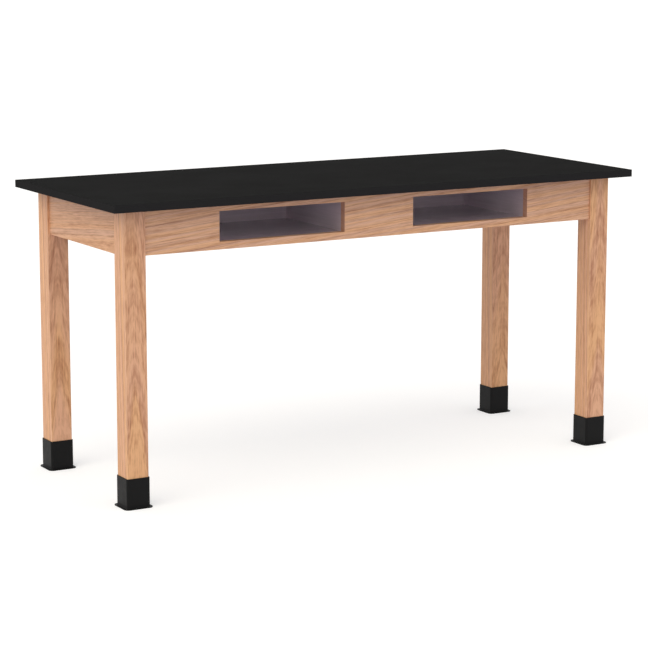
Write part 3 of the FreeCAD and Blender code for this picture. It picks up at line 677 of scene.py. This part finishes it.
def thread(shape, radius, pitch, base, length):
    """Winds a screw thread's ridge round +Z, from a height and over a length."""
    foot = radius - GROOVE_SHARE * pitch - ROOTED
    crest_start = (1 - CREST_SHARE) / 2 * pitch
    crest_end = (1 + CREST_SHARE) / 2 * pitch
    outline = ((foot, 0), (radius, crest_start), (radius, crest_end), (foot, pitch))
    corners = [shape.verts.new((reach, 0, base + height)) for reach, height in outline]
    end = shape.faces.new(corners)
    turns = int(length / pitch) - 1
    bmesh.ops.spin(
        shape, geom=[end] + list(end.edges) + corners, axis=UPRIGHT,
        dvec=UPRIGHT * pitch / AROUND, angle=math.tau * turns, steps=AROUND * turns)


def finished(name, shape):
    """A mesh of a bmesh, smooth but sharp where its faces meet steeply."""
    bmesh.ops.recalc_face_normals(shape, faces=shape.faces)
    for face in shape.faces:
        face.smooth = True
    for edge in shape.edges:
        edge.smooth = edge.calc_face_angle(math.pi) < SHARP
    mesh = bpy.data.meshes.new(name)
    shape.to_mesh(mesh)
    shape.free()
    return mesh


def steel_piece(name, model, places, body, stands_for):
    """Puts copies of a mesh in their places as one zinc-plated piece that rides on a body."""
    shape = bmesh.new()
    for place in places:
        before = len(shape.verts)
        shape.from_mesh(model)
        shape.verts.ensure_lookup_table()
        bmesh.ops.transform(shape, matrix=place, verts=shape.verts[before:])
    mesh = bpy.data.meshes.new(name)
    shape.to_mesh(mesh)
    shape.free()
    mesh.materials.append(steel)
    piece = bpy.data.objects.new(name, mesh)
    bpy.context.scene.collection.objects.link(piece)
    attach(piece, body)
    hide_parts(stands_for)


def stem_model(height):
    """A glide's stem on the origin: a ball, a neck, a hexagon collar and a threaded shank."""
    shank_base = height - STEM_LENGTH
    root = STEM_RADIUS - GROOVE_SHARE * STEM_PITCH
    shape = bmesh.new()
    stepped_rod(shape, (
        (0, BALL_RADIUS), (NECK_RADIUS, BALL_RADIUS), (NECK_RADIUS, shank_base - ROOTED),
        (root, shank_base - ROOTED), (root, height - END_CHAMFER), (root - END_CHAMFER, height),
        (0, height)))
    thread(shape, STEM_RADIUS, STEM_PITCH, shank_base - STEM_PITCH / 2, STEM_LENGTH)
    bmesh.ops.create_uvsphere(
        shape, u_segments=AROUND, v_segments=AROUND // 2, radius=BALL_RADIUS,
        matrix=Matrix.Translation(UPRIGHT * BALL_RADIUS))
    corner_radius = COLLAR_ACROSS / 2 / math.cos(math.pi / COLLAR_SIDES)
    middle = Matrix.Translation(UPRIGHT * (shank_base - COLLAR_HEIGHT / 2))
    collar = bmesh.ops.create_cone(
        shape, cap_ends=True, segments=COLLAR_SIDES, radius1=corner_radius, radius2=corner_radius,
        depth=COLLAR_HEIGHT, matrix=middle @ Matrix.Rotation(math.pi / COLLAR_SIDES, 4, "Z"))
    edges = {edge for vert in collar["verts"] for edge in vert.link_edges}
    rims = [edge for edge in edges if abs(edge.verts[0].co.z - edge.verts[1].co.z) < ROOTED]
    bmesh.ops.bevel(
        shape, geom=rims, offset=COLLAR_BEVEL, segments=2, profile=0.5, affect="EDGES",
        material=-1)
    return finished("stem_model", shape)


def bolt_model():
    """A hanger bolt along +Z: a point for the leg's wood, a plain shank and a threaded end."""
    root = BOLT_RADIUS - GROOVE_SHARE * BOLT_PITCH
    thread_base = BOLT_LENGTH - BOLT_THREAD_LENGTH
    shape = bmesh.new()
    stepped_rod(shape, (
        (0, 0), (BOLT_POINT_RADIUS, 0), (BOLT_RADIUS, BOLT_POINT_LENGTH),
        (BOLT_RADIUS, thread_base), (root, thread_base), (root, BOLT_LENGTH - END_CHAMFER),
        (root - END_CHAMFER, BOLT_LENGTH), (0, BOLT_LENGTH)))
    thread(shape, BOLT_RADIUS, BOLT_PITCH, thread_base - BOLT_PITCH / 2, BOLT_THREAD_LENGTH)
    return finished("bolt_model", shape)


def bolt_place(sign_x, sign_y):
    """The place of a corner's hanger bolt, found from the end of its CAD solid."""
    inward = Vector((-sign_x, -sign_y, 0)).normalized()
    points = [vert.co for vert in nodes["hanger_bolts"].data.vertices]
    own = [point for point in points if point.x * sign_x > 0 and point.y * sign_y > 0]
    reach = max(point.dot(inward) for point in own)
    end = [point for point in own if point.dot(inward) > reach - ROOTED]
    tip = sum(end, Vector()) / len(end)
    return Matrix.LocRotScale(tip - inward * BOLT_LENGTH, inward.to_track_quat("Z", "Y"), None)


low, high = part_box("glide_stem_front_left")
stem = stem_model(high.z - low.z)
for corner in CORNERS:
    low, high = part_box("glide_stem_" + corner)
    foot = Matrix.Translation(((low.x + high.x) / 2, (low.y + high.y) / 2, low.z))
    steel_piece("threaded_stem_" + corner, stem, [foot], "stem_" + corner, "glide_stem_" + corner)
bolt_places = [bolt_place(*signs) for signs in CORNERS.values()]
steel_piece("threaded_hanger_bolts", bolt_model(), bolt_places, "table", "hanger_bolts")


# The floor is pale and matt. Its shade as it shows, with a glow that makes it plain white away
# from the table's soft shadow, differs from the shade in which it lights the table from below.
FLOOR_SHOWN = "#cccccb"
FLOOR_GLOW = 0.5
FLOOR_BOUNCE = "#d1cee1"
FLOOR_ROUGHNESS = 0.9
# In metres: far enough for the floor's edge to stay out of sight
FLOOR_RADIUS = 90.0
FLOOR_SIDES = 96


def shown_rays(material):
    """An output that is 1 for rays that show what they meet: to the camera, a gloss or a glass."""
    paths = node(material, "ShaderNodeLightPath", {})
    seen = node(material, "ShaderNodeMath", {
        0: paths["Is Camera Ray"], 1: paths["Is Glossy Ray"]}, operation="MAXIMUM")[0]
    return node(material, "ShaderNodeMath", {
        0: seen, 1: paths["Is Transmission Ray"]}, operation="MAXIMUM")[0]


def pale_floor():
    """A wide pale floor round the table."""
    material, shader = new_material("pale_floor")
    shown = shown_rays(material)
    colour = node(material, "ShaderNodeMix", {
        SHARE: shown, FIRST: linear(FLOOR_BOUNCE), SECOND: linear(FLOOR_SHOWN),
    }, data_type="RGBA")[MIXED]
    join(material, colour, shader.inputs["Base Color"])
    shader.inputs["Roughness"].default_value = FLOOR_ROUGHNESS
    shader.inputs["Specular IOR Level"].default_value = 0.0
    shader.inputs["Emission Color"].default_value = WHITE
    glow = node(material, "ShaderNodeMath", {0: shown, 1: FLOOR_GLOW}, operation="MULTIPLY")[0]
    join(material, glow, shader.inputs["Emission Strength"])
    mesh = bpy.data.meshes.new("floor")
    shape = bmesh.new()
    bmesh.ops.create_circle(shape, cap_ends=True, segments=FLOOR_SIDES, radius=FLOOR_RADIUS)
    shape.to_mesh(mesh)
    shape.free()
    mesh.materials.append(material)
    floor = bpy.data.objects.new("floor", mesh)
    bpy.context.scene.collection.objects.link(floor)
    return floor


pale_floor()

# The world is an even white room. Its light on the table is kept lower than the white that the
# camera and the reflections see.
ROOM_LIGHT = (0.776, 0.761, 0.766, 1.0)
world = bpy.data.worlds.new("white_room")
bpy.context.scene.world = world
world.use_nodes = True
background = world.node_tree.nodes["Background"]
room = node(world, "ShaderNodeMix", {
    SHARE: shown_rays(world), FIRST: ROOM_LIGHT, SECOND: WHITE}, data_type="RGBA")[MIXED]
join(world, room, background.inputs["Color"])

SUN_COLOUR = (1.0, 0.965, 0.84)


def sun(name, strength, towards, spread):
    """A soft sun lamp whose light travels towards a direction. Its spread is in degrees."""
    lamp = bpy.data.lights.new(name, "SUN")
    lamp.energy = strength
    lamp.color = SUN_COLOUR
    lamp.angle = math.radians(spread)
    holder = bpy.data.objects.new(name, lamp)
    holder.rotation_euler = Vector(towards).to_track_quat("-Z", "Y").to_euler()
    bpy.context.scene.collection.objects.link(holder)


sun("key_light", strength=1.1, towards=(0.58, 0.34, -0.74), spread=50.0)
sun("side_light", strength=0.3, towards=(0.97, 0.10, -0.20), spread=60.0)

# The camera stands at the front left, a little above the top, as in the photograph. Its lens is
# in millimetres, its place in metres and its angles in degrees.
SENSOR_WIDTH = 36.0
LENS_LENGTH = 128.22
LENS_SHIFT = -0.0281
CAMERA_PLACE = (-3.03504, -5.25336, 1.45767)
CAMERA_TILT = 80.13
CAMERA_TURN = -29.91

lens = bpy.data.cameras.new("camera")
lens.sensor_width = SENSOR_WIDTH
lens.lens = LENS_LENGTH
lens.shift_y = LENS_SHIFT
camera = bpy.data.objects.new("camera", lens)
camera.location = CAMERA_PLACE
camera.rotation_euler = (math.radians(CAMERA_TILT), 0.0, math.radians(CAMERA_TURN))
bpy.context.scene.collection.objects.link(camera)
bpy.context.scene.camera = camera
bpy.context.scene.view_settings.view_transform = "Standard"
